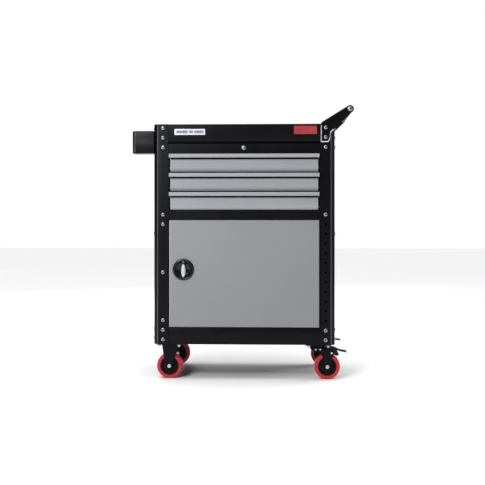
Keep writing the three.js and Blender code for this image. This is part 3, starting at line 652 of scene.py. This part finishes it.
def add_drawer(number):
    front_low, front_high = span(f"drawer_{number}_front")
    y, z, h = -HALF_Y, front_low.z, front_high.z - front_low.z

    bm = bmesh.new()
    foot_back, foot_height, step, step_back = 7.0, 9.5, h - 21.0, 7.0
    inside = [
        (y + foot_back, z), (y + foot_back + 1.3, z + 0.4), (y + 1.9, z + foot_height + 0.5),
        (y + 1.5, z + foot_height + 2), (y + 1.5, z + step - 1.5), (y + step_back + 1.5, z + step - 1.5),
        (y + step_back + 1.5, z + h),
    ]
    outside = [
        (y + step_back, z + h), (y + step_back, z + step + 0.6), (y + step_back - 0.6, z + step),
        (y + 0.9, z + step), (y + 0.25, z + step - 0.3), (y, z + step - 0.9),
        (y, z + foot_height + 1.6), (y + 0.4, z + foot_height),
    ]
    prism(bm, inside + outside, "X", -FACE_HALF, FACE_HALF)
    body = f"drawer_{number}"
    face = piece(f"{body}_face", bm, GREY, body, (f"{body}_front",), bevel=0.3)
    # The recess above the step, behind the pull, is black: painted shade for the dark slot under each pull.
    face.data.materials.append(BLACK)
    for polygon in face.data.polygons:
        above_step = (polygon.center.z - ORIGIN.z) / MM > z + step
        polygon.material_index = 1 if above_step and abs(polygon.normal.x) < 0.5 else 0

    reach, drop = 16.5, 15.0
    top, front, back = z + h, y - reach, y + step_back + 1.5
    bm = bmesh.new()
    hook = [(back, top)] + arc(front + 3.5, top - 3.5, 3.5, 90, 180, 5)
    hook += arc(front + 2, top - drop + 2, 2.0, 180, 300, 5)
    hook += [(front + 4.0, top - drop + 2.5), (front + 4.0, top - 5.0)]
    hook += arc(front + 6.0, top - 5.0, 2.0, 180, 90, 3) + [(back, top - 3.0)]
    prism(bm, hook, "X", -PULL_HALF, PULL_HALF)
    piece(f"{body}_pull", bm, GREY, body, bevel=0.25)
    keep(f"{body}_box", GREY, 0.3)
    for side in ("left", "right"):
        for channel in ("outer", "inner"):
            keep(f"slide_{number}_{side}_{channel}", SLIDE_ZINC, 0.25)


# ---------------------------------------------------------------- central lock


def add_central_lock():
    housing_low, housing_high = span("lock_housing")
    z = (housing_low.z + housing_high.z) / 2
    y = housing_low.y
    bm = bmesh.new()
    ring = [
        (5.3, y + 1.4), (5.8, y + 0.5), (6.4, y), (7.4, y), (8.3, y + 0.35), (8.8, y + 1.1), (8.9, y + 2.2),
        (7.0, y + 2.4), (7.0, -176), (5.3, -176),
    ]
    turned(bm, ring, "Y", (0, 0, z), 48, closed=True)
    visual("lock_housing", bm, BOLT_STEEL)

    crank = 4.95
    bm = bmesh.new()
    plug = [(4.2, y - 0.4), (4.8, y - 0.2), (5.0, y + 0.3), (5.0, -174.5), (3.5, -174), (3.5, 170)]
    turned(bm, plug, "Y", (0, 0, z), 32)
    prism(bm, [(3.5, 2.5), (-2.5, 3.5), (-7.45, -3.95), (-3.95, -7.45)], "Y", 168, 171, (0, 0, z))
    turned(bm, [(2.0, 170), (2.0, 176.5), (1.6, 177)], "Y", (-crank, 0, z - crank), 16)
    rod = visual("lock_rod", bm, BOLT_STEEL, bevel=0.15)
    slot = bmesh.new()
    box(slot, (-0.7, y - 2, z - 3.8), (0.7, y + 6, z + 3.8))
    cut_with(rod, slot)
    finish_mesh(rod, BOLT_STEEL, 0.12)
    keep("lock_bar", SLIDE_ZINC, 0.3)


# ---------------------------------------------------------------- door and latch


def add_door():
    """A folded pan with rolled edges."""
    half_x = (DOOR_HIGH.x - DOOR_LOW.x) / 2
    half_z = (DOOR_HIGH.z - DOOR_LOW.z) / 2
    middle_z = (DOOR_HIGH.z + DOOR_LOW.z) / 2
    front, back = DOOR_LOW.y, DOOR_HIGH.y

    def outline(inset):
        signs = ((-1, -1), (1, -1), (1, 1), (-1, 1))
        return [(su * (half_x - inset), middle_z + sv * (half_z - inset)) for su, sv in signs]

    radius = 4.5
    angles = (pi / 2, 3 * pi / 8, pi / 4, pi / 8, 0)
    roll = [(radius - radius * cos(a), front + radius - radius * sin(a)) for a in angles]
    fold = [(0, back - 1.2), (1.2, back), (12, back), (12, back - 1.2), (1.8, back - 1.2)]
    fold += [(1.2, back - 1.8)]
    inside = [(1.2, front + radius), (radius, front + 1.2)]
    bm = bmesh.new()
    shell(bm, outline, roll + fold + inside, "Y")
    door = visual("door_panel", bm, SHADED_DOOR_GREY)
    drills = bmesh.new()
    turned(drills, [(38.5, front - 3), (38.5, front + 4)], "Y", (LATCH_X, 0, LATCH_Z), 48)
    turned(drills, [(3.4, DOOR_LOW.z - 2), (3.4, DOOR_HIGH.z + 2)], "Z", (*PIVOT, 0), 20)
    cut_with(door, drills)
    finish_mesh(door, SHADED_DOOR_GREY)
    # The left roll takes the lighter grey, a painted highlight.
    door.data.materials.append(DOOR_ROLL_HIGHLIGHT)
    for polygon in door.data.polygons:
        on_left_roll = polygon.normal.x < -0.25 and -0.98 < polygon.normal.y < -0.05
        if on_left_roll:
            polygon.material_index = 1


LATCH_X = (DISH_LOW.x + DISH_HIGH.x) / 2
LATCH_Z = (DISH_LOW.z + DISH_HIGH.z) / 2
KEY_RISE = 29.0


def add_latch():
    """A dished escutcheon with a lens-shaped grip and a key plug above it."""
    centre = (LATCH_X, -HALF_Y, LATCH_Z)
    rim = [(42, -0.3), (42, -1.6), (41.3, -3.2), (40.1, -4.5), (38.4, -5.5)]
    rim += [(36.4, -6.0), (34.6, -5.6), (33.2, -4.4)]
    bowl = [(32.3, -2.2), (31.6, 0.6), (29.5, 3.4), (24, 5.8), (17, 7.2), (9.0, 7.8), (6.4, 8)]
    back = [(6.4, 18.5), (10, 18.5), (10, 10.4), (23, 9), (35, 5), (37.7, -0.3)]
    bm = bmesh.new()
    turned(bm, rim + bowl + back, "Y", centre, 72, closed=True)
    key = (LATCH_X, -HALF_Y, LATCH_Z + KEY_RISE)
    boss = [(5.1, 15), (6.8, 15), (6.8, -2.4), (6.2, -3.0), (5.1, -3.0)]
    turned(bm, boss, "Y", key, 32, closed=True)
    visual("latch_dish", bm, BLACK_GLOSS)

    bm = bmesh.new()
    plug = [(3.9, -4.0), (4.5, -3.8), (4.7, -3.3), (4.7, 17)]
    turned(bm, plug, "Y", key, 32)
    plug_obj = visual("latch_key_plug", bm, DARK_STEEL)
    slot = bmesh.new()
    x, y, z = key
    box(slot, (x - 0.6, y - 6, z - 3), (x + 0.6, y, z + 3))
    cut_with(plug_obj, slot)
    finish_mesh(plug_obj, DARK_STEEL)

    above, below, half_width = 21.5, 29.9, 9.0
    middle, half_length = (above - below) / 2, (above + below) / 2
    levels = [(1.0, 2.4), (1.0, -2.0), (0.97, -3.4), (0.86, -5.0), (0.68, -6.4), (0.42, -7.5), (0.15, -8.0)]
    bm = bmesh.new()
    rings = []
    for scale, depth in levels:
        width, length = half_width * scale, half_length * scale ** 0.5
        lens = [Vector((u * width, depth, middle + v * length)) for u, v in circle(0, 0, 1, 48)]
        rings.append([point + Vector(centre) for point in lens])
    loft(bm, rings)
    turned(bm, [(8.7, 1), (8.7, 5.8), (8.1, 6.2)], "Y", centre, 32)
    turned(bm, [(6, 2), (6, 25)], "Y", centre, 24)
    visual("latch_grip", bm, GRIP_SILVER)
    keep("latch_tongue", ZINC, 0.3)


# ---------------------------------------------------------------- labels


def label_plate(name, material, x0, x1, z0, z1, radius, proud):
    """A thin blank plate on the top tray's front."""
    middle = ((x0 + x1) / 2, (z0 + z1) / 2)
    outline = rounded_rectangle((x1 - x0) / 2, (z1 - z0) / 2, radius, 4, middle)
    bm = bmesh.new()
    prism(bm, outline, "Y", TRAY_LOW.y - proud, TRAY_LOW.y)
    piece(name, bm, material, "top_tray", bevel=0.2)


def add_labels():
    """Two plates without lettering: a silver one with three plain bars, and a red one."""
    face = TRAY_LOW.y
    x0, x1, z0, z1 = -272.3, -152.0, 818.0, 841.5
    label_plate("label_plate_silver", LABEL_SILVER, x0, x1, z0, z1, 2.0, 0.8)
    bm = bmesh.new()
    for u0, u1 in ((x0 + 8, x0 + 52), (x0 + 58, x0 + 72), (x0 + 78, x1 - 8)):
        box(bm, (u0, face - 1.0, z0 + 6.5), (u1, face - 0.7, z1 - 6.5))
    piece("label_bars", bm, LABEL_BARS, "top_tray")
    label_plate("label_plate_red", LABEL_RED, 194.0, 283.6, 820.0, 852.0, 2.5, 0.7)


# ---------------------------------------------------------------- castors

LEG_INNER, LEG_OUTER = 19.0, 22.0
TRAIL = 36.0
AXLE_DROP = -FLOOR_Z - WHEEL_RADIUS
PLATE_BOLTS = [(sx * 38.5, sy * 28.0) for sx in (-1, 1) for sy in (-1, 1)]


def plate_shape(bm, centre):
    prism(bm, rounded_rectangle(49, 38, 6), "Z", -4.0, -0.3, centre)


def axle_shape(bm, x, y, z):
    """A bolt right through the fork, with a nut at each end."""
    turned(bm, [(4.8, -24), (4.8, 24)], "Y", (x, y, z), 20)
    for out in (-1, 1):
        rings = []
        for r, h in ((8, 22.3), (8, 26.6), (7.0, 27.4), (4.9, 27.5), (4.9, 28.2), (4.0, 28.7)):
            rings.append([Vector((x + u, y + out * h, z + v)) for u, v in circle(0, 0, r, 6)])
        loft(bm, rings)


def wheel_shape(name, x, y):
    centre = (x, y, FLOOR_Z + WHEEL_RADIUS)
    bm = bmesh.new()
    half = [(37.0, 15.6), (44.5, 16.0)] + arc(45.5, 11.5, 4.5, 88, 0, 7)
    tread = half + [(r, -h) for r, h in reversed(half)]
    turned(bm, tread, "Y", centre, 96, closed=True)
    visual(f"{name}_wheel_tread", bm, TREAD_RED, angle=50)

    bm = bmesh.new()
    half = [(5.4, 18.0), (13.2, 18.0), (14.2, 17.2), (15.0, 8.0), (17.5, 6.0), (27.5, 6.0)]
    half += [(30.2, 8.0), (31.2, 14.0), (32.2, 14.8), (36.4, 14.8), (36.8, 14.2)]
    core = half + [(r, -h) for r, h in reversed(half)]
    turned(bm, core, "Y", centre, 64, closed=True)
    for i in range(10):
        angle = 2 * pi * i / 10
        across = Vector((-sin(angle), 0, cos(angle)))
        along = Vector((cos(angle), 0, sin(angle)))
        for out in (-1, 1):
            rings = []
            for r, h in ((14.6, 13.5), (31.5, 11.0)):
                corners = [(-1.1, 5.0), (1.1, 5.0), (0.8, h), (-0.8, h)]
                root = Vector(centre) + along * r
                rings.append([root + across * a + Vector((0, out * b, 0)) for a, b in corners])
            loft(bm, rings)
    visual(f"{name}_wheel_core", bm, NYLON, angle=35)


def plate_bolt_shapes(bm, x, y):
    for u, v in PLATE_BOLTS:
        hex_head(bm, x + u, y + v, -4.0, "Z", -1, 6.0, 4.6)
        turned(bm, [(3.2, -8.5), (3.2, -12.4), (2.5, -13.0)], "Z", (x + u, y + v, 0), 16)


def legs(bm, outline, y):
    for sy in (-1, 1):
        ends = sorted((y + sy * LEG_INNER, y + sy * LEG_OUTER))
        prism(bm, outline, "Y", *ends)


def add_rigid_castor(end):
    plate_low, plate_high = span(f"rigid_{end}_bracket")
    x, y = (plate_low.x + plate_high.x) / 2, (plate_low.y + plate_high.y) / 2
    name = f"rigid_{end}"
    bm = bmesh.new()
    plate_shape(bm, (x, y, 0))
    side = [(15.6, -80), (23.5, -44), (29.5, -3.7)]
    leg = arc(0, -AXLE_DROP, 15, 190, 350, 16) + side + [(-u, v) for u, v in reversed(side)]
    legs(bm, [(x + u, v) for u, v in leg], y)
    visual(f"{name}_bracket", bm, BLACK, bevel=0.6)
    bm = bmesh.new()
    axle_shape(bm, x, y, -AXLE_DROP)
    visual(f"{name}_axle", bm, ZINC, bevel=0.3)
    bm = bmesh.new()
    plate_bolt_shapes(bm, x, y)
    piece(f"{name}_plate_bolts", bm, ZINC, f"{name}_bracket")
    wheel_shape(name, x, y)


def add_swivel_castor(end):
    plate_low, plate_high = span(f"swivel_{end}_plate")
    x, y = (plate_low.x + plate_high.x) / 2, (plate_low.y + plate_high.y) / 2
    name = f"swivel_{end}"
    bm = bmesh.new()
    plate_shape(bm, (x, y, 0))
    race = [(28, -3.8), (29.5, -5), (30, -7.5), (29, -9.6), (27.5, -10.0)]
    turned(bm, race, "Z", (x, y, 0), 48)
    turned(bm, [(6, -9), (6, -21), (9.5, -21), (9.5, -26), (8.5, -27)], "Z", (x, y, 0), 24)
    visual(f"{name}_plate", bm, BLACK, bevel=0.4)

    bm = bmesh.new()
    head = [(6.8, -10.5), (28, -10.5), (30.5, -11.5), (31, -14), (31, -18), (6.8, -18)]
    turned(bm, head, "Z", (x, y, 0), 48, closed=True)
    crown = [(-30, -LEG_OUTER), (48, -LEG_OUTER), (48, LEG_OUTER), (-30, LEG_OUTER)]
    prism(bm, [(x + u, y + v) for u, v in crown], "Z", -20, -17)
    leg = arc(TRAIL, -AXLE_DROP, 15, 190, 350, 16)
    leg += [(52, -80), (58.5, -44), (60, -35), (59, -27), (55.5, -21), (50, -17)]
    leg += [(-30, -17), (-26, -23), (2, -31), (8, -34), (13, -40), (17, -50), (20.5, -80)]
    legs(bm, [(x + u, v) for u, v in leg], y)
    visual(f"{name}_fork", bm, BLACK, bevel=0.6)

    bm = bmesh.new()
    axle_shape(bm, x + TRAIL, y, -AXLE_DROP)
    visual(f"{name}_axle", bm, ZINC, bevel=0.3)
    bm = bmesh.new()
    plate_bolt_shapes(bm, x, y)
    piece(f"{name}_plate_bolts", bm, ZINC, f"{name}_plate")
    bm = bmesh.new()
    seal = [(25.5, -9.2), (27.6, -9.8), (28.2, -10.25), (27.6, -10.7), (25.5, -11.2)]
    turned(bm, seal, "Z", (x, y, 0), 48, closed=True)
    piece(f"{name}_race_seal", bm, ZINC, f"{name}_fork")
    bm = bmesh.new()
    for out in (-1, 1):
        face = y + out * LEG_OUTER
        rivet = [(3.4, face), (3.4, face + out * 1.2), (2.4, face + out * 2.0)]
        for u in (-9.0, 8.5):
            turned(bm, rivet, "Y", (x + u, 0, -20.5), 16)
    piece(f"{name}_rivets", bm, ZINC, f"{name}_fork")
    bm = bmesh.new()
    for out in (-1, 1):
        tip = y + out * (LEG_OUTER + 2)
        rings = [(4.6, tip), (4.6, tip + out * 2.4), (3.8, tip + out * 3.0)]
        turned(bm, rings, "Y", (x + 53, 0, -34), 6)
    piece(f"{name}_brake_pivot", bm, ZINC, f"{name}_brake_pedal")
    keep(f"{name}_brake_pedal", PEDAL_MAROON, 0.5)
    wheel_shape(name, x + TRAIL, y)


# ---------------------------------------------------------------- stage


def add_floor():
    bm = bmesh.new()
    bmesh.ops.create_grid(bm, x_segments=1, y_segments=1, size=12.0)
    mesh = bpy.data.meshes.new("floor")
    bm.to_mesh(mesh)
    bm.free()
    floor = bpy.data.objects.new("floor", mesh)
    bpy.context.scene.collection.objects.link(floor)
    s = Surface("floor_pale", Roughness=0.9, Specular_IOR_Level=0.1)
    s.colour(s.ramp(s.noise(1.5, 2.0), 0.2, 0.8, (0.9, 0.9, 0.9), (0.92, 0.92, 0.92)))
    mesh.materials.append(s.material)


def add_light(name, energy, size, place, aim):
    data = bpy.data.lights.new(name, "AREA")
    data.energy = energy
    data.shape = "RECTANGLE"
    data.size, data.size_y = size
    light = bpy.data.objects.new(name, data)
    bpy.context.scene.collection.objects.link(light)
    light.location = place
    light.rotation_euler = (Vector(aim) - Vector(place)).to_track_quat("-Z", "Y").to_euler()
    return light


def add_lights():
    add_light("key", 42, (1.0, 0.8), (-1.2, -2.4, 2.2), (-0.05, 0, 0.8))
    strip = add_light("strip", 26, (0.35, 0.6), (-1.25, -3.4, 1.25), (-0.2, 0, 0.8))
    strip.data.color = (0.88, 0.92, 1.0)
    add_light("fill_right", 30, (1.2, 1.6), (3.0, 1.3, 1.6), (0, 0, 0.6))
    add_light("fill_back", 30, (1.6, 1.6), (-1.0, 3.2, 1.8), (0, 0, 0.6))
    down = bpy.data.lights.new("overhead", "SUN")
    down.energy = 3.0
    down.angle = radians(70)
    overhead = bpy.data.objects.new("overhead", down)
    bpy.context.scene.collection.objects.link(overhead)
    world = bpy.data.worlds.new("studio")
    bpy.context.scene.world = world
    world.use_nodes = True
    tree = world.node_tree
    background = tree.nodes["Background"]
    path = tree.nodes.new("ShaderNodeLightPath")
    shade = tree.nodes.new("ShaderNodeMapRange")
    shade.inputs["To Min"].default_value = 0.06
    shade.inputs["To Max"].default_value = 1.0
    tree.links.new(path.outputs["Is Camera Ray"], shade.inputs["Value"])
    tree.links.new(shade.outputs["Result"], background.inputs["Strength"])
    background.inputs["Color"].default_value = (1, 1, 1, 1)


def add_camera():
    distance, offset, eye = 3.264, 0.115, 0.652
    focal_per_width = 839.0 / 485.0
    data = bpy.data.cameras.new("camera")
    data.sensor_width = 36.0
    data.lens = focal_per_width * data.sensor_width
    data.shift_y = -0.061
    camera = bpy.data.objects.new("camera", data)
    bpy.context.scene.collection.objects.link(camera)
    camera.location = (ORIGIN.x + offset, ORIGIN.y - HALF_Y * MM - distance, eye)
    camera.rotation_euler = (radians(90), 0, radians(2.12))
    bpy.context.scene.camera = camera


# ---------------------------------------------------------------- the chest

bpy.context.scene.view_settings.view_transform = "Standard"
add_camera()
add_floor()
add_lights()
add_posts()
add_post_bolts()
add_trays()
add_panels()
add_handle()
add_bin()
add_case()
for drawer in (1, 2, 3):
    add_drawer(drawer)
add_central_lock()
add_door()
add_latch()
add_labels()
for where in ("front", "rear"):
    add_rigid_castor(where)
    add_swivel_castor(where)
